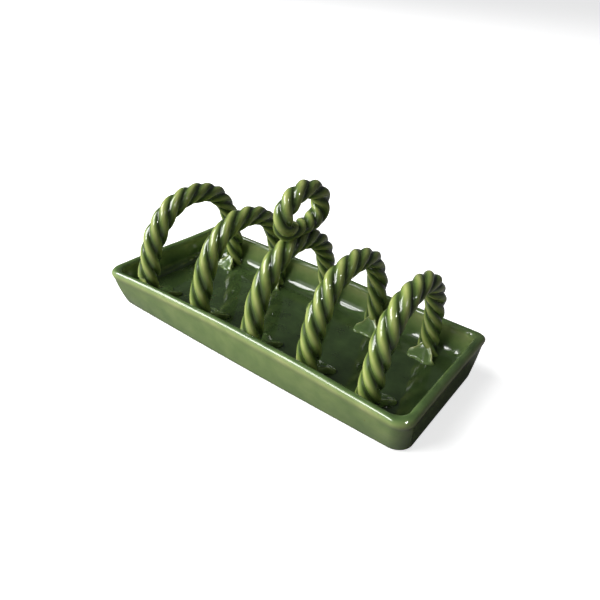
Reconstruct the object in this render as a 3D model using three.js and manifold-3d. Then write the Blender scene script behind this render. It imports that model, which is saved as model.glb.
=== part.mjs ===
// A glazed ceramic toast rack, in millimetres, +Z up.
// X runs along the tray, Y across it from the front long wall to the rear one, and the origin is at the
// centre of the base. Five arches of twisted clay rope cross the tray and hold the toast between them.
// The middle arch carries a ring of the same rope as its handle.
// The arches are four strands of clay and the ring is three. The end of each leg is spread on the floor as a flat
// tongue.

import * as THREE from 'three';
import { mergeVertices } from 'three/addons/utils/BufferGeometryUtils.js';
import Module from 'manifold-3d';

const wasm = await Module();
wasm.setup();

// Driving dimensions

const gap = 0.3;

const tray = {
  length: 210,
  width: 99,
  height: 27,
  frontCornerRadius: 9,
  rearCornerRadius: 4,
  innerCornerRadius: 7,
  endFlare: 1.4,
  sideFlare: 8.9,
  flarePower: 1.4,
  lip: 0.6,
  lipDrop: 1.9,
  lipHeight: 5,
  rimInset: 1.6,
  innerRimRound: 2.2,
  wall: 4.8,
  floor: 10,
  floorFillet: 5,
  edgeRadius: 3.4,
  recessDepth: 4.5,
  recessInset: 8,
  frontRimBow: 3.6,
  frontBaseBow: -1.3,
};

const rope = {
  strands: 4,
  strandRadius: 2.25,
  strandOffset: 3.75,
  radius: 6.1,
  steps: 40,
};

// Middle of each arch across the tray, half its span and the rise of its centreline above the floor.
const archPower = 2.4;
const arches = [
  { x: -77, y: -0.7, halfSpan: 38.7, rise: 60.9 },
  { x: -37.4, y: 1.5, halfSpan: 36.6, rise: 57 },
  { x: 3.4, y: 0.4, halfSpan: 36.6, rise: 55.8 },
  { x: 39.2, y: 2.2, halfSpan: 35.5, rise: 55.9 },
  { x: 77, y: 0.2, halfSpan: 35.1, rise: 56.5 },
];

// Twist of each arch's rope: the turn it starts at, the turns it makes, and how many radians of them are drawn
// towards the top and towards the front.
const twists = [
  { phase: -0.08, turns: 3.71, top: 0, front: -0.19 },
  { phase: 0.04, turns: 3.02, top: 0.15, front: 0 },
  { phase: -0.09, turns: 3.22, top: 0.53, front: 0.28 },
  { phase: -0.04, turns: 3.16, top: 0.16, front: -0.48 },
  { phase: 0.08, turns: 3.58, top: -0.21, front: -0.21 },
];
const handleArch = 2;

const ring = {
  y: 2.3,
  z: 82.6,
  halfLength: 17.1,
  rise: 12,
  drop: 10.5,
  strands: 3,
  strandRadius: 2.5,
  strandOffset: 3.1,
  radius: 5.6,
  steps: 36,
  jointGap: 0.012,
};
const ringTwist = { phase: 0.09, turns: 3, top: -0.48, front: -0.23 };

// Reach of each tongue from its leg towards the middle of the tray, and how far it spreads to -X and +X.
const tongueThickness = 1.3;
const tongueRoot = 3;
const tongues = {
  front: [
    { reach: 23, left: 9, right: 6 },
    { reach: 20, left: 8, right: 7 },
    { reach: 21, left: 8, right: 8 },
    { reach: 19, left: 7, right: 9 },
    { reach: 20, left: 7, right: 8 },
  ],
  rear: [
    { reach: 15, left: 8, right: 6 },
    { reach: 15, left: 11, right: 5 },
    { reach: 17, left: 12, right: 5 },
    { reach: 17, left: 12, right: 6 },
    { reach: 15, left: 10, right: 9 },
  ],
};

// Glaze

const glaze = {
  tray: new THREE.MeshStandardMaterial({ color: 0x5c7a34, roughness: 0.12, metalness: 0 }),
  rope: new THREE.MeshStandardMaterial({ color: 0x71853a, roughness: 0.12, metalness: 0 }),
  ring: new THREE.MeshStandardMaterial({ color: 0x6b8038, roughness: 0.12, metalness: 0 }),
  tongue: new THREE.MeshStandardMaterial({ color: 0x64803a, roughness: 0.12, metalness: 0 }),
};

// Solids

function toManifold(geometry) {
  const bare = geometry.clone();
  bare.deleteAttribute('normal');
  bare.deleteAttribute('uv');
  const merged = mergeVertices(bare, 1e-4);
  const mesh = new wasm.Mesh({
    numProp: 3,
    vertProperties: new Float32Array(merged.attributes.position.array),
    triVerts: new Uint32Array(merged.index.array),
  });
  return new wasm.Manifold(mesh);
}

function toGeometry(manifold) {
  const mesh = manifold.getMesh();
  const geometry = new THREE.BufferGeometry();
  geometry.setAttribute('position', new THREE.BufferAttribute(new Float32Array(mesh.vertProperties), 3));
  geometry.setIndex(new THREE.BufferAttribute(new Uint32Array(mesh.triVerts), 1));
  geometry.computeVertexNormals();
  return geometry;
}

function largestPiece(manifold) {
  const pieces = manifold.decompose();
  return pieces.reduce((best, piece) => (piece.volume() > best.volume() ? piece : best));
}

function movePoints(geometry, move) {
  const position = geometry.attributes.position;
  const point = new THREE.Vector3();
  for (let i = 0; i < position.count; i += 1) {
    point.fromBufferAttribute(position, i);
    const moved = move(point);
    position.setXYZ(i, moved.x, moved.y, moved.z);
  }
  return geometry;
}

// Tray

// A rounded rectangle of the rim's size, with points along its straights so that they can bow.
function rimOutline(frontRadius, rearRadius) {
  const halfLength = tray.length / 2 - tray.lip;
  const halfWidth = tray.width / 2 - tray.lip;
  const cornerSteps = 4;
  const corners = [
    { x: 1, y: -1, radius: frontRadius, start: -Math.PI / 2, straightSteps: 2 },
    { x: 1, y: 1, radius: rearRadius, start: 0, straightSteps: 4 },
    { x: -1, y: 1, radius: rearRadius, start: Math.PI / 2, straightSteps: 2 },
    { x: -1, y: -1, radius: frontRadius, start: Math.PI, straightSteps: 8 },
  ];
  const cornerPoint = (corner, angle) => new THREE.Vector2(
    corner.x * (halfLength - corner.radius) + corner.radius * Math.cos(angle),
    corner.y * (halfWidth - corner.radius) + corner.radius * Math.sin(angle),
  );
  const points = [];
  corners.forEach((corner, index) => {
    for (let i = 0; i <= cornerSteps; i += 1) {
      points.push(cornerPoint(corner, corner.start + (i / cornerSteps) * (Math.PI / 2)));
    }
    const next = corners[(index + 1) % corners.length];
    const from = points[points.length - 1];
    const to = cornerPoint(next, next.start);
    for (let i = 1; i < corner.straightSteps; i += 1) {
      points.push(from.clone().lerp(to, i / corner.straightSteps));
    }
  });
  return new THREE.Shape(points);
}

// How far below the rim a height is, from 0 at the rim to 1 at the base, drawn towards the base so that the
// wall's outside is slightly convex.
function flareShare(z) {
  return (1 - Math.min(z / (tray.height - tray.lipDrop), 1)) ** tray.flarePower;
}

// A prism of the rim outline whose layers follow a profile of heights and offsets from the flared wall.
function flaredSolid(profile, frontRadius, rearRadius) {
  const steps = profile.length - 1;
  const outline = rimOutline(frontRadius, rearRadius);
  const prism = new THREE.ExtrudeGeometry(outline, { depth: steps, steps, bevelEnabled: false });
  const rimHalfLength = tray.length / 2 - tray.lip;
  const rimHalfWidth = tray.width / 2 - tray.lip;
  return movePoints(prism, (point) => {
    const layer = profile[Math.round(point.z)];
    const below = flareShare(layer.z);
    const halfLength = rimHalfLength - tray.endFlare * below + layer.offset;
    const halfWidth = rimHalfWidth - tray.sideFlare * below + layer.offset;
    const bow = THREE.MathUtils.lerp(tray.frontRimBow, tray.frontBaseBow, below);
    const frontness = Math.max(-point.y / rimHalfWidth, 0);
    const bowHalfLength = rimHalfLength - frontRadius;
    const middle = Math.max(1 - (point.x / bowHalfLength) ** 2, 0);
    const x = (point.x / rimHalfLength) * halfLength;
    const y = (point.y / rimHalfWidth) * halfWidth + bow * frontness * middle;
    return new THREE.Vector3(x, y, layer.z);
  });
}

function outerProfile() {
  const r = tray.edgeRadius;
  const top = tray.height;
  const lip = tray.lip;
  return [
    { z: 0, offset: -r },
    { z: 0.3 * r, offset: -0.3 * r },
    { z: r, offset: 0 },
    { z: 0.4 * top, offset: 0 },
    { z: 0.6 * top, offset: 0 },
    { z: top - tray.lipHeight, offset: 0 },
    { z: top - tray.lipDrop, offset: lip },
    { z: top - 0.3 * tray.lipDrop, offset: 0.4 * lip },
    { z: top, offset: -tray.rimInset },
  ];
}

// The tray's inner surface, moved inwards by a clearance.
function cavityProfile(clearance, topZ) {
  const r = tray.floorFillet;
  const inner = -tray.wall - clearance;
  const profile = [];
  const filletSteps = 3;
  for (let i = 0; i <= filletSteps; i += 1) {
    const angle = (i / filletSteps) * (Math.PI / 2);
    profile.push({
      z: tray.floor + clearance + r * (1 - Math.cos(angle)),
      offset: inner - r * (1 - Math.sin(angle)),
    });
  }
  const round = tray.innerRimRound;
  profile.push({ z: 0.7 * tray.height, offset: inner });
  profile.push({ z: tray.height - 1.5 * round, offset: inner });
  profile.push({ z: tray.height - 0.4 * round, offset: inner + 0.5 * round });
  profile.push({ z: tray.height, offset: inner + round });
  profile.push({ z: topZ, offset: inner + 2 * round });
  return profile;
}

function recessProfile() {
  const inset = -tray.recessInset;
  const fillet = 0.3 * tray.recessDepth;
  return [
    { z: -1, offset: inset },
    { z: tray.recessDepth - fillet, offset: inset },
    { z: tray.recessDepth, offset: inset - fillet },
  ];
}

function cavitySolid(clearance, topZ) {
  const radius = tray.innerCornerRadius;
  return toManifold(flaredSolid(cavityProfile(clearance, topZ), radius, radius));
}

function trayGeometry() {
  const outer = toManifold(flaredSolid(outerProfile(), tray.frontCornerRadius, tray.rearCornerRadius));
  const recess = toManifold(flaredSolid(recessProfile(), tray.innerCornerRadius, tray.innerCornerRadius));
  return toGeometry(outer.subtract(cavitySolid(0, tray.height + 1)).subtract(recess));
}

// Ropes

// The centreline of an arch: a superellipse in the plane across the tray, from the front foot to the rear.
class ArchCurve extends THREE.Curve {
  constructor(arch) {
    super();
    this.arch = arch;
  }

  getPoint(t) {
    const power = 2 / archPower;
    const cosine = Math.cos(Math.PI * t);
    const sine = Math.sin(Math.PI * t);
    const across = Math.sign(cosine) * Math.abs(cosine) ** power;
    const up = Math.abs(sine) ** power;
    return new THREE.Vector3(
      this.arch.x,
      this.arch.y - this.arch.halfSpan * across,
      tray.floor + this.arch.rise * up,
    );
  }
}

// The centreline of the ring: an upright oval, flatter below, that starts and ends on top of the middle arch.
class RingCurve extends THREE.Curve {
  getPoint(t) {
    const angle = -Math.PI / 2 - 2 * Math.PI * THREE.MathUtils.lerp(ring.jointGap, 1 - ring.jointGap, t);
    const up = Math.sin(angle);
    return new THREE.Vector3(
      arches[handleArch].x,
      ring.y + ring.halfLength * Math.cos(angle),
      ring.z + (up > 0 ? ring.rise : ring.drop) * up,
    );
  }
}

// One strand's cross-section, standing clear of the rope's centreline with a flat side to each neighbour.
function strandShape(radius, offset) {
  const angles = [25, 100, 160, 200, 260, 335];
  const points = angles.map((degrees) => {
    const angle = THREE.MathUtils.degToRad(degrees);
    return new THREE.Vector2(offset + radius * Math.cos(angle), radius * Math.sin(angle));
  });
  return new THREE.Shape(points);
}

// Wraps a straight strand around a curve that lies in a plane across the tray.
function layStrand(shape, steps, curve, turnAt, squeeze) {
  const straight = new THREE.ExtrudeGeometry(shape, { depth: steps, steps, bevelEnabled: false });
  const stations = [];
  for (let i = 0; i <= steps; i += 1) {
    const tangent = curve.getTangentAt(i / steps);
    stations.push({
      centre: curve.getPointAt(i / steps),
      outward: new THREE.Vector3(0, -tangent.z, tangent.y),
      turn: turnAt(i / steps),
    });
  }
  return movePoints(straight, (point) => {
    const station = stations[Math.round(point.z)];
    const cosine = Math.cos(station.turn);
    const sine = Math.sin(station.turn);
    const side = point.x * cosine - point.y * sine;
    const out = squeeze(point.x * sine + point.y * cosine, station.centre);
    const placed = station.centre.clone().addScaledVector(station.outward, out);
    placed.x -= side;
    return placed;
  });
}

// The ropes are twisted by hand, so their turns are not even.
function strandTurn(twist, strand, strands) {
  const start = 2 * Math.PI * (twist.phase + strand / strands);
  return (s) => {
    const angle = 2 * Math.PI * s;
    return start - twist.turns * angle + twist.top * Math.sin(angle) + twist.front * (1 - Math.cos(angle));
  };
}

// The ends of an arch's strands stop clear of the tray.
function archStrandGeometry(arch, twist, strand, inside) {
  const shape = strandShape(rope.strandRadius, rope.strandOffset);
  const turnAt = strandTurn(twist, strand, rope.strands);
  const geometry = layStrand(shape, rope.steps, new ArchCurve(arch), turnAt, (out) => out);
  return toGeometry(largestPiece(toManifold(geometry).intersect(inside)));
}

// The ring's rope is pressed flat where it sits on the arch.
function ringStrandGeometry(strand) {
  const shape = strandShape(ring.strandRadius, ring.strandOffset);
  const turnAt = strandTurn(ringTwist, strand, ring.strands);
  const archPoints = new ArchCurve(arches[handleArch]).getPoints(200);
  const squeeze = (out, centre) => {
    const distances = archPoints.map((point) => point.distanceTo(centre));
    const room = Math.min(...distances) - rope.radius - gap;
    const share = Math.min((room + ring.radius) / (2 * ring.radius), 1);
    return -ring.radius + (out + ring.radius) * share;
  };
  return layStrand(shape, ring.steps, new RingCurve(), turnAt, squeeze);
}

// Tongues

// A leaf of clay that starts at the foot of a leg and widens towards its tip, seen from above.
function tongueShape(tongue) {
  const start = rope.radius + gap;
  const shape = new THREE.Shape();
  shape.moveTo(-tongueRoot, start);
  shape.quadraticCurveTo(-tongue.left, start + 1, -tongue.left, tongue.reach - 5);
  shape.quadraticCurveTo(-0.3 * tongue.left, tongue.reach, 0.4 * tongue.right, tongue.reach);
  shape.quadraticCurveTo(tongue.right, tongue.reach - 3, tongue.right, tongue.reach - 7);
  shape.quadraticCurveTo(tongue.right, start + 1, tongueRoot, start);
  return shape;
}

function tongueMesh(name, tongue, arch, side) {
  const options = { depth: tongueThickness, bevelEnabled: false, curveSegments: 3 };
  const geometry = new THREE.ExtrudeGeometry(tongueShape(tongue), options);
  if (side > 0) {
    movePoints(geometry, (point) => new THREE.Vector3(-point.x, -point.y, point.z));
    geometry.computeVertexNormals();
  }
  const mesh = new THREE.Mesh(geometry, glaze.tongue);
  mesh.name = name;
  mesh.position.set(arch.x, arch.y + side * arch.halfSpan, tray.floor + gap);
  return mesh;
}

// Assembly

function namedMesh(name, geometry, material) {
  const mesh = new THREE.Mesh(geometry, material);
  mesh.name = name;
  return mesh;
}

function buildToastRack() {
  const rack = new THREE.Group();
  rack.add(namedMesh('tray', trayGeometry(), glaze.tray));
  const inside = cavitySolid(gap, ring.z);
  arches.forEach((arch, index) => {
    const number = index + 1;
    for (let strand = 0; strand < rope.strands; strand += 1) {
      const name = `arch_${number}_strand_${strand + 1}`;
      rack.add(namedMesh(name, archStrandGeometry(arch, twists[index], strand, inside), glaze.rope));
    }
    rack.add(tongueMesh(`arch_${number}_front_tongue`, tongues.front[index], arch, -1));
    rack.add(tongueMesh(`arch_${number}_rear_tongue`, tongues.rear[index], arch, 1));
  });
  for (let strand = 0; strand < ring.strands; strand += 1) {
    rack.add(namedMesh(`ring_strand_${strand + 1}`, ringStrandGeometry(strand), glaze.ring));
  }
  return rack;
}

export default buildToastRack();
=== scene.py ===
"""A glazed ceramic toast rack with twisted rope arches, built around its CAD frame. Sizes are in metres."""

import math

import bpy
import numpy as np
from mathutils import Matrix, Vector


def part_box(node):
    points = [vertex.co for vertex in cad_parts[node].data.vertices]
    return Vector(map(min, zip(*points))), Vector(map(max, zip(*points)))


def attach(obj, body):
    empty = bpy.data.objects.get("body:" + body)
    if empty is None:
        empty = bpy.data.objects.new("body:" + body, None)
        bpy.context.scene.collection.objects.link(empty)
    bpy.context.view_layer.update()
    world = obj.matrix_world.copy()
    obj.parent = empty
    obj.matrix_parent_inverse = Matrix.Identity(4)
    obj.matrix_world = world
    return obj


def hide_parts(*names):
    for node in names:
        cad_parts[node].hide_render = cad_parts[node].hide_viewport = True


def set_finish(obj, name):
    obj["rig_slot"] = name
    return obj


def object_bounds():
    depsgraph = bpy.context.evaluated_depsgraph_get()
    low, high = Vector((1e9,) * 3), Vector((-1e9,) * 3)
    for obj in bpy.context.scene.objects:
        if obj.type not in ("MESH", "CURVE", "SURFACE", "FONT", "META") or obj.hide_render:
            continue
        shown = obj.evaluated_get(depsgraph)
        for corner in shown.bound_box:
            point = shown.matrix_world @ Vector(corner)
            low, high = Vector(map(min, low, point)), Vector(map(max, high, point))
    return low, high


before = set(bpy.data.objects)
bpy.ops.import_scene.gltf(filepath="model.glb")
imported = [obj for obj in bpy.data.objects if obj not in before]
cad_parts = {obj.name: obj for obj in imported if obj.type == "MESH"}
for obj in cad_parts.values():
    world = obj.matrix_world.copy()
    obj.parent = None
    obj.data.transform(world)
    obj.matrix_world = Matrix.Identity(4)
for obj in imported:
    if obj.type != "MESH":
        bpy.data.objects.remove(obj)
CAD_LOW, CAD_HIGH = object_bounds()

MM = 0.001
ARCHES = 5
ARCH_STRANDS = 4
RING_STRANDS = 3
RING_ARCH = 3
GAP = 0.3 * MM


def mix(start, end, share):
    """The value that lies share of the way from start to end."""
    return start + (end - start) * share


def union_box(names):
    """The lowest and highest corners of several CAD nodes together."""
    boxes = [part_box(name) for name in names]
    low = Vector(min(box[0][axis] for box in boxes) for axis in range(3))
    high = Vector(max(box[1][axis] for box in boxes) for axis in range(3))
    return low, high


# Sizes read from the frame, and the ones that the frame's boxes don't give.

TRAY_LOW, TRAY_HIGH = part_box("tray")
HALF_LENGTH = (TRAY_HIGH.x - TRAY_LOW.x) / 2
HALF_WIDTH = (TRAY_HIGH.y - TRAY_LOW.y) / 2
RIM_Z = TRAY_HIGH.z
FLOOR_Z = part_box("arch_3_front_tongue")[0].z - GAP
LIP = 0.6 * MM
LIP_DROP = 1.9 * MM
LIP_ROUND = 3.1 * MM
LIP_NECK = 3.6 * MM
RIM_ROUND = 2.9 * MM
WALL = 4.8 * MM
FRONT_CORNER = 9 * MM
REAR_CORNER = 4 * MM
INNER_CORNER = 7 * MM
END_FLARE = 1.4 * MM
SIDE_FLARE = 8.9 * MM
FLARE_POWER = 1.4
FRONT_RIM_BOW = 3.6 * MM
FRONT_BASE_BOW = -1.3 * MM
FLOOR_FILLET = 5 * MM
EDGE_RADIUS = 3.4 * MM
RECESS_DEPTH = 4.5 * MM
RECESS_INSET = 8 * MM
RECESS_ROUND = 1.5 * MM
RECESS_EDGE = 0.6 * MM
ARCH_POWER = 2.4
ARCH_SUNK = 1.5 * MM
ROPE_RADIUS = 6.1 * MM
RING_RADIUS = 5.75 * MM
RING_TAPER = 0.3 * MM
RING_Y = 2.3 * MM
RING_Z = 82.6 * MM
RING_HALF_LENGTH = 17.1 * MM
RING_RISE = 12.4 * MM
RING_DROP = 10.5 * MM

# Twist of each rope: the turn it starts at, the turns it makes, and how many radians of them are drawn
# towards the top and towards the front.
RING_TWIST = {"phase": 0.09, "turns": 3, "top": -0.48, "front": -0.23}
TWISTS = {
    1: {"phase": -0.08, "turns": 3.71, "top": 0.0, "front": -0.19},
    2: {"phase": 0.04, "turns": 3.02, "top": 0.15, "front": 0.0},
    3: {"phase": -0.09, "turns": 3.22, "top": 0.53, "front": 0.28},
    4: {"phase": -0.04, "turns": 3.16, "top": 0.16, "front": -0.48},
    5: {"phase": 0.08, "turns": 3.58, "top": -0.21, "front": -0.21},
}


def strands(prefix, count):
    """The CAD nodes of a rope's strands."""
    return [f"{prefix}_strand_{strand + 1}" for strand in range(count)]


# Camera

# The camera fitted to the photograph: its place, how it is turned, and its lens in millimetres.
CAMERA_PLACE = Vector((0.1624, -0.2274, 0.1949))
CAMERA_HEADING = math.radians(34.07)
CAMERA_PITCH = math.radians(30.93)
CAMERA_ROLL = math.radians(5.28)
CAMERA_LENS = 33.15
CAMERA_SENSOR = 36
CAMERA_NEAR = 0.01


def make_camera():
    """A camera at the photograph's viewpoint."""
    data = bpy.data.cameras.new("camera")
    data.sensor_width = CAMERA_SENSOR
    data.lens = CAMERA_LENS
    data.clip_start = CAMERA_NEAR
    camera = bpy.data.objects.new("camera", data)
    turn = Matrix.Rotation(CAMERA_HEADING, 4, "Z")
    tilt = Matrix.Rotation(math.pi / 2 - CAMERA_PITCH, 4, "X")
    roll = Matrix.Rotation(CAMERA_ROLL, 4, "Z")
    camera.matrix_world = Matrix.Translation(CAMERA_PLACE) @ turn @ tilt @ roll
    bpy.context.scene.collection.objects.link(camera)
    bpy.context.scene.camera = camera


# Mesh helpers

def smooth_step(low, high, value):
    """0 below low, 1 above high, and a smooth rise between them."""
    share = np.clip((value - low) / (high - low), 0, 1)
    return share * share * (3 - 2 * share)


def wobble(points, scale, seed):
    """A smooth unevenness between about -1 and 1 over points, with waves about scale metres long."""
    source = np.random.default_rng(seed)
    total = np.zeros(len(points))
    waves = 5
    for _ in range(waves):
        direction = source.normal(size=3)
        direction *= 2 * math.pi / (scale * source.uniform(0.7, 1.5) * np.linalg.norm(direction))
        total += np.sin(points @ direction + source.uniform(0, 2 * math.pi))
    return total / math.sqrt(waves)


def make_mesh(name, points, faces, paleness):
    """A smooth-shaded object that carries the glaze's paleness on its points, as the glazes read it: mostly
    how thin the glaze lies, with painted light and shade in a few places.
    """
    mesh = bpy.data.meshes.new(name)
    mesh.from_pydata([tuple(point) for point in points], [], faces)
    mesh.validate()
    attribute = mesh.attributes.new("paleness", "FLOAT", "POINT")
    attribute.data.foreach_set("value", np.clip(paleness, 0, 1).astype(np.float32))
    mesh.shade_smooth()
    piece = bpy.data.objects.new(name, mesh)
    bpy.context.scene.collection.objects.link(piece)
    return piece


def tube_faces(rings, around, closed=False):
    """Quads over rings of points, with caps, or joined end to end."""
    faces = []
    for ring in range(rings - 1):
        for i in range(around):
            j = (i + 1) % around
            near = ring * around
            far = near + around
            faces.append((near + i, near + j, far + j, far + i))
    last = (rings - 1) * around
    if closed:
        faces += [(last + i, last + (i + 1) % around, (i + 1) % around, i) for i in range(around)]
    else:
        faces.append(tuple(reversed(range(around))))
        faces.append(tuple(range(last, last + around)))
    return faces


# Tray

CORNER_STEPS = 14
LONG_STEPS = 90
SHORT_STEPS = 40
MIDDLE_SHRINK = 0.06

# How thin the glaze lies on each part of the tray, from 0 where it pools to 1 where it is palest; the tops
# of the inner walls and the change from front to rear also hold painted light and shade.
FLOOR_THIN = 0.17
WALL_FOOT_THIN = 0.40
# The inner walls grow paler towards their tops: thinner glaze near the rim, and painted light, as the rear
# wall faces the window.
WALL_TOP_THIN_AND_LIGHT = 0.76
RIM_INSIDE_THIN = 0.74
RIM_TOP_THIN = 0.40
RIM_OUTSIDE_THIN = 0.88
BELOW_RIM_THIN = 0.68
BASE_EDGE_THIN = 0.60
FOOT_RIM_THIN = 0.50
RECESS_EDGE_THIN = 0.45
RECESS_THIN = 0.36
# How much paler the tray is towards the rear and darker towards the front: painted light towards the rear,
# where the floor gets more bounce, and painted shade towards the front, under the front wall.
FRONT_SHADE_REAR_LIGHT = 0.06

# Unevenness of the tray: the axis that moves, how far, the length of the waves, and the seed.
TRAY_WAVES = [
    (0, 0.25 * MM, 90 * MM, 3),
    (1, 0.30 * MM, 80 * MM, 4),
    (2, 0.22 * MM, 60 * MM, 5),
]


def rounded_outline(half_length, half_width, front_radius, rear_radius):
    """Points round a rectangle with round corners, anticlockwise from the front right corner."""
    corners = [
        (1, -1, front_radius, -math.pi / 2, SHORT_STEPS),
        (1, 1, rear_radius, 0, LONG_STEPS),
        (-1, 1, rear_radius, math.pi / 2, SHORT_STEPS),
        (-1, -1, front_radius, math.pi, LONG_STEPS),
    ]
    points = []
    for index, (side_x, side_y, radius, start, steps) in enumerate(corners):
        angles = start + np.linspace(0, math.pi / 2, CORNER_STEPS + 1)
        centre = np.array((side_x * (half_length - radius), side_y * (half_width - radius)))
        arc = centre + radius * np.column_stack((np.cos(angles), np.sin(angles)))
        next_x, next_y, next_radius, next_start, _ = corners[(index + 1) % 4]
        target = np.array((
            next_x * (half_length - next_radius) + next_radius * math.cos(next_start),
            next_y * (half_width - next_radius) + next_radius * math.sin(next_start),
        ))
        shares = np.linspace(0, 1, steps + 1)[1:-1, None]
        points.append(arc)
        points.append(arc[-1] * (1 - shares) + target * shares)
    return np.vstack(points)


def flare_share(z):
    """How far the flared walls have drawn in at height z, from 0 at the rim to 1 at the base."""
    return (1 - np.clip(z / (RIM_Z - LIP_DROP), 0, 1)) ** FLARE_POWER


def front_bow(z):
    """How far the middle of the front wall is bowed into the tray at height z."""
    return mix(FRONT_RIM_BOW, FRONT_BASE_BOW, flare_share(z))


def tray_ring(z, offset, outerness, shrink):
    """One outline of the tray: at height z, offset outwards from its flared wall, with corners from the
    cavity's (outerness 0) to the outside's (1), and shrunk towards the middle."""
    below = flare_share(z)
    half_length = HALF_LENGTH - LIP - END_FLARE * below + offset
    half_width = HALF_WIDTH - LIP - SIDE_FLARE * below + offset
    front_radius = mix(INNER_CORNER, FRONT_CORNER, outerness)
    rear_radius = mix(INNER_CORNER, REAR_CORNER, outerness)
    outline = rounded_outline(half_length, half_width, front_radius, rear_radius)
    frontness = np.maximum(-outline[:, 1] / half_width, 0)
    middle = np.maximum(1 - (outline[:, 0] / (half_length - front_radius)) ** 2, 0)
    outline[:, 1] += front_bow(z) * frontness * middle
    outline *= shrink
    return np.column_stack((outline, np.full(len(outline), z)))


def arc_steps(count):
    """Angles of a quarter turn in count steps."""
    return np.linspace(0, math.pi / 2, count + 1)


# Each row below is one outline of the tray: (height, offset, outerness, shrink, paleness).

def floor_rows():
    """The floor from its middle outwards, and the fillet up to the walls."""
    edge = -WALL - FLOOR_FILLET
    rows = [(FLOOR_Z, edge, 0, shrink, FLOOR_THIN) for shrink in np.linspace(MIDDLE_SHRINK, 0.98, 24)]
    for angle in arc_steps(8):
        z = FLOOR_Z + FLOOR_FILLET * (1 - math.cos(angle))
        offset = edge + FLOOR_FILLET * math.sin(angle)
        rows.append((z, offset, 0, 1, mix(FLOOR_THIN, WALL_FOOT_THIN, math.sin(angle) ** 2)))
    return rows


def rim_rows():
    """The inner wall, the rim's inner rounding, and its outer rounding down to the lip's widest line."""
    rows = []
    rim_half = WALL / 2
    fillet_top = FLOOR_Z + FLOOR_FILLET
    wall_top = RIM_Z - RIM_ROUND
    for share in np.linspace(0.1, 1, 8):
        # Paler towards the top: thinner glaze near the rim and painted light.
        paleness = mix(WALL_FOOT_THIN, WALL_TOP_THIN_AND_LIGHT, share)
        rows.append((mix(fillet_top, wall_top, share), -WALL, 0, 1, paleness))
    for angle in np.linspace(0.15, math.pi / 2, 7):
        upwards = math.sin(angle)
        offset = -WALL + rim_half * (1 - math.cos(angle))
        paleness = mix(RIM_INSIDE_THIN, RIM_TOP_THIN, upwards)
        rows.append((mix(wall_top, RIM_Z, upwards), offset, 0.5 * upwards, 1, paleness))
    for angle in np.linspace(math.pi / 2 - 0.2, 0, 9):
        outwards = math.cos(angle)
        z = RIM_Z - LIP_ROUND * (1 - math.sin(angle))
        offset = mix(-rim_half, LIP, outwards)
        paleness = mix(RIM_TOP_THIN, RIM_OUTSIDE_THIN, outwards ** 2)
        rows.append((z, offset, mix(0.5, 1, outwards), 1, paleness))
    return rows


def outside_rows():
    """The neck under the lip, the outer wall, and the rounded edge at its base."""
    rows = []
    lip_z = RIM_Z - LIP_ROUND
    neck_z = lip_z - LIP_NECK
    for share in np.linspace(0.2, 1, 6):
        fade = 1 - smooth_step(0, 1, share)
        paleness = mix(BELOW_RIM_THIN, RIM_OUTSIDE_THIN, fade)
        rows.append((mix(lip_z, neck_z, share), LIP * fade, 1, 1, paleness))
    for share in np.linspace(0.15, 1, 9):
        rows.append((mix(neck_z, EDGE_RADIUS, share), 0, 1, 1, mix(BELOW_RIM_THIN, BASE_EDGE_THIN, share)))
    for angle in arc_steps(7)[1:]:
        z = EDGE_RADIUS * (1 - math.sin(angle))
        rows.append((z, -EDGE_RADIUS * (1 - math.cos(angle)), 1, 1, BASE_EDGE_THIN))
    return rows


def underside_rows():
    """The flat foot rim, and the recess inside it as far as its middle."""
    rows = [
        (0, -RECESS_INSET + RECESS_EDGE, 0, 1, FOOT_RIM_THIN),
        (0.5 * MM, -RECESS_INSET, 0, 1, RECESS_EDGE_THIN),
    ]
    for angle in arc_steps(5):
        z = RECESS_DEPTH - RECESS_ROUND * (1 - math.sin(angle))
        rows.append((z, -RECESS_INSET - RECESS_ROUND * (1 - math.cos(angle)), 0, 1, RECESS_THIN))
    for shrink in np.linspace(0.95, MIDDLE_SHRINK, 12):
        rows.append((RECESS_DEPTH, -RECESS_INSET - RECESS_ROUND, 0, shrink, RECESS_THIN))
    return rows


def make_tray():
    """The tray, slightly uneven like hand-worked clay, a little paler towards the rear and darker towards
    the front as painted light and shade.
    """
    rows = floor_rows() + rim_rows() + outside_rows() + underside_rows()
    rings = [tray_ring(*row[:-1]) for row in rows]
    around = len(rings[0])
    points = np.vstack(rings)
    # Painted light towards the rear and painted shade towards the front, added to the glaze's paleness.
    paleness = np.repeat([row[-1] for row in rows], around) + FRONT_SHADE_REAR_LIGHT * points[:, 1] / HALF_WIDTH
    height = smooth_step(0, RIM_Z, points[:, 2])
    for axis, depth, wave, seed in TRAY_WAVES:
        points[:, axis] += depth * wobble(points, wave, seed) * height
    faces = [tuple(reversed(face)) for face in tube_faces(len(rings), around)]
    piece = make_mesh("glazed_tray", points, faces, paleness)
    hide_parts("tray")
    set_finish(piece, "tray_glaze")
    return piece


# Ropes

AROUND_LOBE = 18
ARCH_STATIONS = 420
RING_STATIONS = 300
RING_SEED = 11
ROPE_LENGTH = 190 * MM

# How far out the strands' middles lie, as a share of the rope's radius.
ARCH_STRAND_OFFSET = 0.43
RING_STRAND_OFFSET = 0.38

# Unevenness of the ropes, as shares of their radius.
STRAND_FULLNESS = 0.05
ROPE_SWELL = 0.02
SWELLS = 3.3
CLAY_ROUGHNESS = 0.026
CLAY_WAVE = 13 * MM

# A leg is thicker at the front than at the rear, and its foot spreads where it meets the floor and is
# darkened there with painted shade.
LEG_TAPER = 0.05
FOOT_HEIGHT = 1.6 * MM
FOOT_SPREAD = 0.22
FOOT_PAINTED_SHADE = 0.35
WALL_BITE = 1.2 * MM
SEAT_BITE = 0.9 * MM


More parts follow.
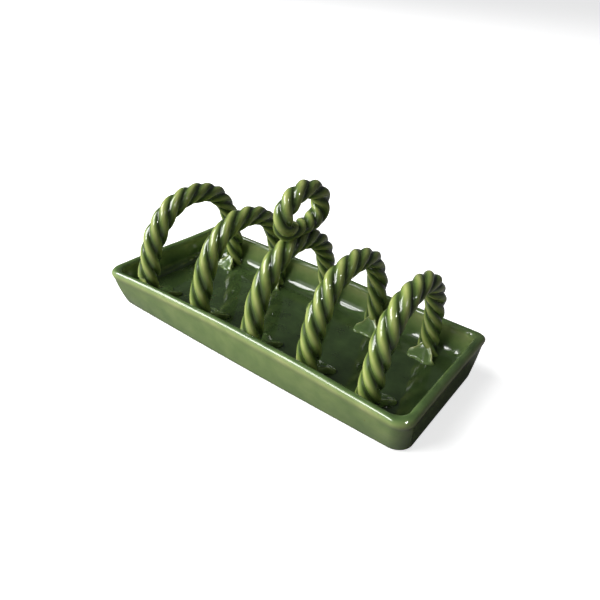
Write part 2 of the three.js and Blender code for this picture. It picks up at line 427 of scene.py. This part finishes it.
def arch_sizes(number):
    """Place, half span and rise of an arch's centreline, from the box of its strands."""
    low, high = union_box(strands(f"arch_{number}", ARCH_STRANDS))
    tongue_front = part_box(f"arch_{number}_front_tongue")
    tongue_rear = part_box(f"arch_{number}_rear_tongue")
    root = ROPE_RADIUS + GAP
    front = tongue_front[0].y - root
    rear = tongue_rear[1].y + root
    return {
        "x": (low.x + high.x) / 2,
        "y": (front + rear) / 2,
        "half_span": (rear - front) / 2,
        "rise": high.z - ROPE_RADIUS - FLOOR_Z,
    }


def arch_line(sizes, count):
    """Evenly spaced points along an arch, from below the floor at the front to below it at the rear."""
    angle = np.linspace(0, math.pi, 4000)
    power = 2 / ARCH_POWER
    across = np.sign(np.cos(angle)) * np.abs(np.cos(angle)) ** power
    up = np.abs(np.sin(angle)) ** power
    y = sizes["y"] - sizes["half_span"] * across
    z = FLOOR_Z + sizes["rise"] * up
    y = np.concatenate(([y[0]], y, [y[-1]]))
    z = np.concatenate(([FLOOR_Z - ARCH_SUNK], z, [FLOOR_Z - ARCH_SUNK]))
    return even_line(np.column_stack((np.full(len(y), sizes["x"]), y, z)), count)


def even_line(line, count):
    """The same line with count evenly spaced points, and how far along it each one is, from 0 to 1."""
    steps = np.linalg.norm(np.diff(line, axis=0), axis=1)
    along = np.concatenate(([0], np.cumsum(steps)))
    along /= along[-1]
    even = np.linspace(0, 1, count)
    points = np.column_stack([np.interp(even, along, line[:, axis]) for axis in range(3)])
    return points, even


def outward_normals(line, closed=False):
    """Unit vectors that point out of a line's curve, for a line that lies across the tray."""
    if closed:
        padded = np.vstack((line[-1], line, line[0]))
        tangent = padded[2:] - padded[:-2]
    else:
        tangent = np.gradient(line, axis=0)
    tangent /= np.linalg.norm(tangent, axis=1)[:, None]
    return np.column_stack((np.zeros(len(line)), -tangent[:, 2], tangent[:, 1]))


def rope_section(radius, lobes, offset, seed, along):
    """The rope's section at each station: angle round it, radius, and ridge height from 0 in a valley to 1
    on a crest. The strands are round, side by side, and offset is how far out their middles are."""
    pitch = 2 * math.pi / lobes
    angle = np.linspace(0, 2 * math.pi, lobes * AROUND_LOBE, endpoint=False)
    from_crest = (angle + pitch / 2) % pitch - pitch / 2
    outline = offset * np.cos(from_crest) + np.sqrt((1 - offset) ** 2 - (offset * np.sin(from_crest)) ** 2)
    ridge = 0.5 + 0.5 * np.cos(lobes * angle)
    source = np.random.default_rng(seed)
    lobe = np.round(angle / pitch).astype(int) % lobes
    fullness = 1 + source.uniform(-STRAND_FULLNESS, STRAND_FULLNESS, lobes)[lobe] * ridge
    swell = 1 + ROPE_SWELL * np.sin(2 * math.pi * (along * SWELLS + source.uniform()))
    size = radius * swell[:, None] * (outline * fullness)[None, :]
    across = radius * np.cos(angle)[None, :]
    up = radius * np.sin(angle)[None, :]
    straight = np.broadcast_arrays(across, up, ROPE_LENGTH * along[:, None])
    surface = np.stack(straight, axis=2).reshape(-1, 3)
    size = size * (1 + CLAY_ROUGHNESS * wobble(surface, CLAY_WAVE, seed).reshape(size.shape))
    return angle, size, np.broadcast_to(ridge, size.shape)


def twist_turn(twist, along):
    """The angle that a rope has turned by at each station."""
    whole = 2 * math.pi * along
    turn = 2 * math.pi * twist["phase"] - twist["turns"] * whole
    return turn + twist["top"] * np.sin(whole) + twist["front"] * (1 - np.cos(whole))


def ridge_thinness(ridge):
    """The glaze breaks thin and pale along the crest of each strand and pools in a narrow dark valley."""
    return 0.18 + 0.34 * smooth_step(0, 0.5, ridge) + 0.38 * ridge ** 2.5


def inner_wall_y(z, side):
    """The inner face of a long wall at height z, on the front (-1) or the rear (1)."""
    return side * (HALF_WIDTH - LIP - SIDE_FLARE * flare_share(z) - WALL)


def rope_points(line, normal, side, out):
    """A rope's points, each side along the tray and out along the normal from the rope's line."""
    points = line[:, None, :] + out[:, :, None] * normal[:, None, :]
    points[:, :, 0] -= side
    return points.reshape(-1, 3)


def make_arch(number):
    """One rope arch as a single glazed body, its four strands twisted together."""
    line, along = arch_line(arch_sizes(number), ARCH_STATIONS)
    normal = outward_normals(line)
    angle, size, ridge = rope_section(ROPE_RADIUS, ARCH_STRANDS, ARCH_STRAND_OFFSET, number, along)
    size = size * mix(1 + LEG_TAPER, 1 - LEG_TAPER, smooth_step(0.25, 0.6, along))[:, None]
    foot = np.exp(-np.maximum(line[:, 2] - FLOOR_Z, 0) / FOOT_HEIGHT)[:, None]
    size = size * (1 + FOOT_SPREAD * foot)
    total = angle[None, :] + twist_turn(TWISTS[number], along)[:, None]
    points = rope_points(line, normal, size * np.cos(total), size * np.sin(total))
    press_on_walls(points)
    # The foot is darker near the floor: painted shade where the leg meets it.
    paleness = ridge_thinness(ridge) * (1 - FOOT_PAINTED_SHADE * foot)
    faces = tube_faces(ARCH_STATIONS, len(angle))
    piece = make_mesh(f"rope_arch_{number}", points, faces, paleness.ravel())
    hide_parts(*strands(f"arch_{number}", ARCH_STRANDS))
    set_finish(piece, "rope_glaze")
    return piece


def press_on_walls(points):
    """Keeps a leg's points from passing through the long walls: they stop a little way into the clay."""
    bow = front_bow(points[:, 2]) * np.maximum(1 - (points[:, 0] / HALF_LENGTH) ** 2, 0)
    front = inner_wall_y(points[:, 2], -1) + bow - WALL_BITE
    rear = inner_wall_y(points[:, 2], 1) + WALL_BITE
    low = points[:, 2] < RIM_Z + 2 * MM
    points[low, 1] = np.clip(points[low, 1], front[low], rear[low])


def ring_line(count):
    """Evenly spaced points round the ring handle's centreline, from its seat round by the front."""
    low, high = union_box(strands("ring", RING_STRANDS))
    angle = -math.pi / 2 - np.linspace(0, 2 * math.pi, 4001)
    up = np.sin(angle)
    line = np.column_stack((
        np.full(len(angle), (low.x + high.x) / 2),
        RING_Y + RING_HALF_LENGTH * np.cos(angle),
        RING_Z + np.where(up > 0, RING_RISE, RING_DROP) * up,
    ))
    points, along = even_line(line, count + 1)
    return points[:-1], along[:-1]


def make_ring():
    """The ring handle, thinner at the top and pressed flat where it sits on the middle arch."""
    line, along = ring_line(RING_STATIONS)
    normal = outward_normals(line, closed=True)
    angle, size, ridge = rope_section(RING_RADIUS, RING_STRANDS, RING_STRAND_OFFSET, RING_SEED, along)
    size = size * (1 + RING_TAPER / RING_RADIUS * np.cos(2 * math.pi * along))[:, None]
    total = angle[None, :] + twist_turn(RING_TWIST, along)[:, None]
    out = size * np.sin(total)
    arch, _ = arch_line(arch_sizes(RING_ARCH), 400)
    clearance = np.linalg.norm(line[:, None, :] - arch[None, :, :], axis=2).min(axis=1) - ROPE_RADIUS
    room = clearance + SEAT_BITE
    share = np.clip((room + RING_RADIUS) / (2 * RING_RADIUS), 0, 1)[:, None]
    out = -RING_RADIUS + (out + RING_RADIUS) * share
    points = rope_points(line, normal, size * np.cos(total), out)
    faces = tube_faces(RING_STATIONS, len(angle), closed=True)
    piece = make_mesh("rope_ring", points, faces, ridge_thinness(ridge).ravel())
    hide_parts(*strands("ring", RING_STRANDS))
    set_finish(piece, "rope_glaze")
    return piece


# Tongues

ACROSS_STEPS = 48
REACH_STEPS = 40
TONGUE_HEIGHT = 1.5 * MM
TONGUE_TIP_FADE = 6 * MM
TONGUE_ROUND = 1.1 * MM
BEAD_INSET = 0.9 * MM
BEAD_WIDTH = 1.0 * MM
BEAD_HEIGHT = 1.1 * MM
CLIMB_HEIGHT = 6 * MM
CLIMB_REACH = 4.5 * MM
EDGE_WIDTH = 1.2 * MM
FAN_SPREAD = 0.72
FAN_START = 0.45
FAN_RIPPLE = 0.06
NOTCH_WIDTH = 0.42
LEAST_BLUNT = 0.06
MOST_BLUNT = 0.28
# How pale each tongue's glaze is; the front tongues are darker with painted shade, as the front wall shades
# the floor there.
TONGUE_THIN_AND_FRONT_SHADE = {"front": 0.26, "rear": 0.44}
BEAD_THINNER = 0.45
EDGE_THINNER = 0.12
FRONT_TONGUE_SEED = 20
REAR_TONGUE_SEED = 40


def tongue_fan(number, place, seed):
    """Direction and reach of every point of a tongue from the leg's middle, and its distances to the sides
    and the tip."""
    low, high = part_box(f"arch_{number}_{place}_tongue")
    x = arch_sizes(number)["x"]
    reach = high.y - low.y + ROPE_RADIUS + GAP
    left = math.atan2(x - low.x, FAN_SPREAD * reach)
    right = math.atan2(high.x - x, FAN_SPREAD * reach)
    if place == "rear":
        left, right = right, left
    source = np.random.default_rng(seed)
    across = np.sin(0.5 * math.pi * np.linspace(-1, 1, ACROSS_STEPS + 1))
    share = np.sin(0.5 * math.pi * np.linspace(0, 1, REACH_STEPS + 1))
    u, v = np.meshgrid(across, share)
    ripple = FAN_RIPPLE * np.sin(3 * math.pi * v) * v
    direction = np.where(u < 0, left * u, right * u) + ripple
    notch = source.uniform(0.10, 0.18)
    dip = source.uniform(-0.15, 0.3)
    blunt = np.where((u > 0) == (place == "front"), LEAST_BLUNT, MOST_BLUNT)
    tip = 1 - notch * np.exp(-((u - dip) / NOTCH_WIDTH) ** 2) - blunt * np.abs(u) ** 5
    radius = mix(FAN_START * ROPE_RADIUS, reach * tip, v)
    side_gap = (1 - np.abs(u)) * np.maximum(left, right) * radius
    tip_gap = (1 - v) * reach
    return direction, radius, side_gap, tip_gap


def slab_faces(rows, columns):
    """Quads over a grid of points, over its copy underneath, and round the border between the two."""
    count = rows * columns
    faces = []
    for i in range(rows - 1):
        for j in range(columns - 1):
            corner = i * columns + j
            quad = (corner, corner + 1, corner + columns + 1, corner + columns)
            faces.append(quad)
            faces.append(tuple(count + k for k in reversed(quad)))
    border = list(range(columns))
    border += [i * columns + columns - 1 for i in range(1, rows)]
    border += [(rows - 1) * columns + j for j in range(columns - 2, -1, -1)]
    border += [i * columns for i in range(rows - 2, 0, -1)]
    for here, there in zip(border, border[1:] + border[:1]):
        faces.append((there, here, count + here, count + there))
    return faces


def make_tongue(number, place, seed):
    """A fan of clay spread from a leg's foot over the floor, thin and bright along its raised sides."""
    sizes = arch_sizes(number)
    forward = 1 if place == "front" else -1
    foot_y = sizes["y"] - forward * sizes["half_span"]
    direction, radius, side_gap, tip_gap = tongue_fan(number, place, seed)
    x = sizes["x"] + forward * radius * np.sin(direction)
    y = foot_y + forward * radius * np.cos(direction)
    nearest = np.minimum(side_gap, tip_gap)
    rounding = np.sqrt(1 - (1 - np.clip(nearest / TONGUE_ROUND, 0, 1)) ** 2)
    bead = np.exp(-((side_gap - BEAD_INSET) / BEAD_WIDTH) ** 2) * smooth_step(-2 * MM, 3 * MM, tip_gap)
    climb = CLIMB_HEIGHT * np.minimum(np.exp(-(radius - 0.6 * ROPE_RADIUS) / CLIMB_REACH), 1)
    height = TONGUE_HEIGHT * mix(0.4, 1, smooth_step(0, TONGUE_TIP_FADE, tip_gap))
    z = FLOOR_Z - 0.15 * MM + (height + BEAD_HEIGHT * bead + climb) * rounding
    top = np.stack((x, y, z), axis=2).reshape(-1, 3)
    top[:, 2] += 0.10 * MM * wobble(top, 12 * MM, seed)
    bottom = top.copy()
    bottom[:, 2] = FLOOR_Z - 0.6 * MM
    edge = np.exp(-nearest / EDGE_WIDTH)
    # The front tongues are darker with painted shade near the front wall.
    paleness = (TONGUE_THIN_AND_FRONT_SHADE[place] + BEAD_THINNER * bead + EDGE_THINNER * edge).ravel()
    name = f"clay_tongue_{number}_{place}"
    piece = make_mesh(name, np.vstack((top, bottom)), slab_faces(*x.shape), np.concatenate((paleness, paleness)))
    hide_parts(f"arch_{number}_{place}_tongue")
    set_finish(piece, "tongue_glaze")
    return piece


# Materials

# A Mix node's sockets for colours.
MIX_SHARE = 0
MIX_FROM = 6
MIX_TO = 7
MIX_RESULT = 2

MOTTLE = 0.40
MOTTLE_SCALE = 95
RIPPLE_SCALE = 140
SPECK_SCALE = 120
SPECK_SIZE = 0.035
SPECK_COLOUR = (120, 98, 52)


def srgb(red, green, blue):
    """A linear colour from 0 to 255 display values."""
    linear = []
    for value in (red, green, blue):
        value /= 255
        linear.append(value / 12.92 if value <= 0.04045 else ((value + 0.055) / 1.055) ** 2.4)
    return (*linear, 1)


def add_node(tree, kind, **values):
    """A new shader node with some of its settings."""
    node = tree.nodes.new(kind)
    for key, value in values.items():
        setattr(node, key, value)
    return node


def glaze_place(tree, seed):
    """The piece's own coordinates, shifted so that each glaze has its own pattern."""
    place = add_node(tree, "ShaderNodeTexCoord")
    shift = add_node(tree, "ShaderNodeVectorMath", operation="ADD")
    shift.inputs[1].default_value = (seed, 0.37 * seed, 0)
    tree.links.new(place.outputs["Object"], shift.inputs[0])
    return shift.outputs[0]


def glaze_noise(tree, place, scale, detail):
    """A noise pattern over the piece."""
    noise = add_node(tree, "ShaderNodeTexNoise")
    noise.inputs["Scale"].default_value = scale
    noise.inputs["Detail"].default_value = detail
    tree.links.new(place, noise.inputs["Vector"])
    return noise.outputs["Fac"]


def glaze_tone(tree, place, tones):
    """The glaze's colour, which follows its paleness (mostly how thin it lies, with painted light and shade
    in a few places) and is faintly mottled.
    """
    paleness = add_node(tree, "ShaderNodeAttribute", attribute_name="paleness")
    spread = add_node(tree, "ShaderNodeMath", operation="MULTIPLY_ADD")
    spread.inputs[1].default_value = MOTTLE
    spread.inputs[2].default_value = -MOTTLE / 2
    tree.links.new(glaze_noise(tree, place, MOTTLE_SCALE, 4), spread.inputs[0])
    total = add_node(tree, "ShaderNodeMath", operation="ADD", use_clamp=True)
    tree.links.new(paleness.outputs["Fac"], total.inputs[0])
    tree.links.new(spread.outputs[0], total.inputs[1])
    ramp = add_node(tree, "ShaderNodeValToRGB")
    ramp.color_ramp.interpolation = "B_SPLINE"
    elements = ramp.color_ramp.elements
    while len(elements) < len(tones):
        elements.new(0.5)
    for element, (position, colour) in zip(elements, tones):
        element.position = position
        element.color = srgb(*colour)
    tree.links.new(total.outputs[0], ramp.inputs["Fac"])
    return ramp.outputs["Color"]


def with_specks(tree, place, tone):
    """The glaze's colour with a few small brown specks."""
    cells = add_node(tree, "ShaderNodeTexVoronoi")
    cells.inputs["Scale"].default_value = SPECK_SCALE
    tree.links.new(place, cells.inputs["Vector"])
    speck = add_node(tree, "ShaderNodeMath", operation="LESS_THAN")
    speck.inputs[1].default_value = SPECK_SIZE
    tree.links.new(cells.outputs["Distance"], speck.inputs[0])
    colour = add_node(tree, "ShaderNodeMix", data_type="RGBA")
    tree.links.new(speck.outputs[0], colour.inputs[MIX_SHARE])
    tree.links.new(tone, colour.inputs[MIX_FROM])
    colour.inputs[MIX_TO].default_value = srgb(*SPECK_COLOUR)
    return colour.outputs[MIX_RESULT]


def glaze_ripple(tree, place):
    """The faint ripple of the glaze's surface."""
    bump = add_node(tree, "ShaderNodeBump")
    bump.inputs["Strength"].default_value = 0.12
    bump.inputs["Distance"].default_value = 0.4 * MM
    tree.links.new(glaze_noise(tree, place, RIPPLE_SCALE, 2), bump.inputs["Height"])
    return bump.outputs["Normal"]


def glaze_material(name, tones, seed):
    """A glossy green glaze in its own tones, with its own pattern of mottling, specks and ripple."""
    material = bpy.data.materials.new(name)
    material.use_nodes = True
    tree = material.node_tree
    shader = tree.nodes["Principled BSDF"]
    shader.inputs["Roughness"].default_value = 0.07
    shader.inputs["IOR"].default_value = 1.52
    shader.inputs["Coat Weight"].default_value = 0.35
    shader.inputs["Coat Roughness"].default_value = 0.03
    place = glaze_place(tree, seed)
    tone = glaze_tone(tree, place, tones)
    tree.links.new(with_specks(tree, place, tone), shader.inputs["Base Color"])
    tree.links.new(glaze_ripple(tree, place), shader.inputs["Normal"])
    return material


# Each glaze's colours, from where it lies thickest to where it lies thinnest.
TRAY_TONES = [
    (0.0, (35, 47, 25)),
    (0.3, (64, 84, 45)),
    (0.5, (98, 124, 72)),
    (0.8, (142, 158, 96)),
    (1.0, (180, 182, 128)),
]
ROPE_TONES = [
    (0.0, (30, 42, 20)),
    (0.3, (68, 88, 42)),
    (0.6, (112, 133, 66)),
    (0.85, (156, 168, 92)),
    (1.0, (182, 189, 120)),
]


# Stage

STAGE_HALF = 60
STAGE_BELOW = 0.05 * MM


def camera_rays(tree):
    """1 for what the camera sees directly, and 0 for what only lights or is mirrored in the rack."""
    return add_node(tree, "ShaderNodeLightPath").outputs["Is Camera Ray"]


def camera_ray_colour(tree, others, camera):
    """One colour for what lights or is mirrored in the rack, and another for what the camera sees."""
    paint = add_node(tree, "ShaderNodeMix", data_type="RGBA")
    tree.links.new(camera_rays(tree), paint.inputs[MIX_SHARE])
    paint.inputs[MIX_FROM].default_value = (*others, 1)
    paint.inputs[MIX_TO].default_value = (*camera, 1)
    return paint.outputs[MIX_RESULT]


def make_stage():
    """A plain floor that the camera sees as nearly white and that throws little light back at the rack."""
    corners = [(x * STAGE_HALF, y * STAGE_HALF, 0) for x, y in ((-1, -1), (1, -1), (1, 1), (-1, 1))]
    mesh = bpy.data.meshes.new("stage_floor")
    mesh.from_pydata(corners, [], [(0, 1, 2, 3)])
    floor = bpy.data.objects.new("stage_floor", mesh)
    floor.location.z = CAD_LOW.z - STAGE_BELOW
    bpy.context.scene.collection.objects.link(floor)
    material = bpy.data.materials.new("stage")
    material.use_nodes = True
    tree = material.node_tree
    shader = tree.nodes["Principled BSDF"]
    shader.inputs["Roughness"].default_value = 0.8
    shader.inputs["Specular IOR Level"].default_value = 0.1
    colour = camera_ray_colour(tree, (0.2, 0.2, 0.19), (0.98, 0.98, 0.97))
    tree.links.new(colour, shader.inputs["Base Color"])
    shader.inputs["Emission Color"].default_value = (0.72, 0.72, 0.72, 1)
    tree.links.new(camera_rays(tree), shader.inputs["Emission Strength"])
    mesh.materials.append(material)


def area_light(name, direction, distance, width, height, power):
    """A rectangular light that faces the rack's middle from a direction."""
    data = bpy.data.lights.new(name, "AREA")
    data.shape = "RECTANGLE"
    data.size = width
    data.size_y = height
    data.energy = power
    light = bpy.data.objects.new(name, data)
    away = Vector(direction).normalized()
    light.location = (CAD_LOW + CAD_HIGH) / 2 + away * distance
    light.rotation_mode = "QUATERNION"
    light.rotation_quaternion = away.to_track_quat("Z", "Y")
    bpy.context.scene.collection.objects.link(light)
    return light


def make_window():
    """A window of six panes at the front left."""
    for column in (-1, 0, 1):
        for row in (-0.5, 0.5):
            pane = Vector((-0.53, -0.467, 0.708 + 0.24 * row)).normalized()
            sideways = pane.cross(Vector((0, 0, 1))).normalized()
            area_light("window_pane", pane + 0.34 * column * sideways, 4.0, 1.15, 0.78, 30)


def make_lights():
    """The window, a broad sheen round it that is only mirrored, a low glow that only lights the clay, and
    two small lamps on the right that only sparkle in the glaze."""
    make_window()
    sheen = area_light("sheen", (-0.6, -0.5, 0.62), 4.4, 6.0, 4.5, 95)
    sheen.visible_camera = False
    sheen.visible_diffuse = False
    glow = area_light("glow", (-0.8, -0.55, 0.25), 0.8, 1.2, 0.5, 8.5)
    glow.visible_camera = False
    glow.visible_glossy = False
    for name, direction in (("lamp_near", (0.62, -0.08, 0.78)), ("lamp_far", (0.55, 0.08, 0.83))):
        lamp = area_light(name, direction, 3.0, 0.09, 0.09, 13)
        lamp.visible_diffuse = False


def make_world():
    """A dim room that the camera sees as pale, and colours shown as they are, without a film look."""
    world = bpy.data.worlds.new("studio")
    world.use_nodes = True
    tree = world.node_tree
    colour = camera_ray_colour(tree, (0.072, 0.074, 0.08), (0.8, 0.8, 0.8))
    tree.links.new(colour, tree.nodes["Background"].inputs["Color"])
    bpy.context.scene.world = world
    bpy.context.scene.view_settings.view_transform = "Standard"


# Assembly

make_camera()
pieces = [make_tray(), make_ring()]
for arch_number in range(1, ARCHES + 1):
    pieces.append(make_arch(arch_number))
    pieces.append(make_tongue(arch_number, "front", FRONT_TONGUE_SEED + arch_number))
    pieces.append(make_tongue(arch_number, "rear", REAR_TONGUE_SEED + arch_number))
glazes = {
    "tray_glaze": glaze_material("tray_glaze", TRAY_TONES, 0.0),
    "rope_glaze": glaze_material("rope_glaze", ROPE_TONES, 1.3),
    "tongue_glaze": glaze_material("tongue_glaze", TRAY_TONES, 2.1),
}
for piece in pieces:
    piece.data.materials.append(glazes[piece["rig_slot"]])
    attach(piece, "root")
make_stage()
make_lights()
make_world()
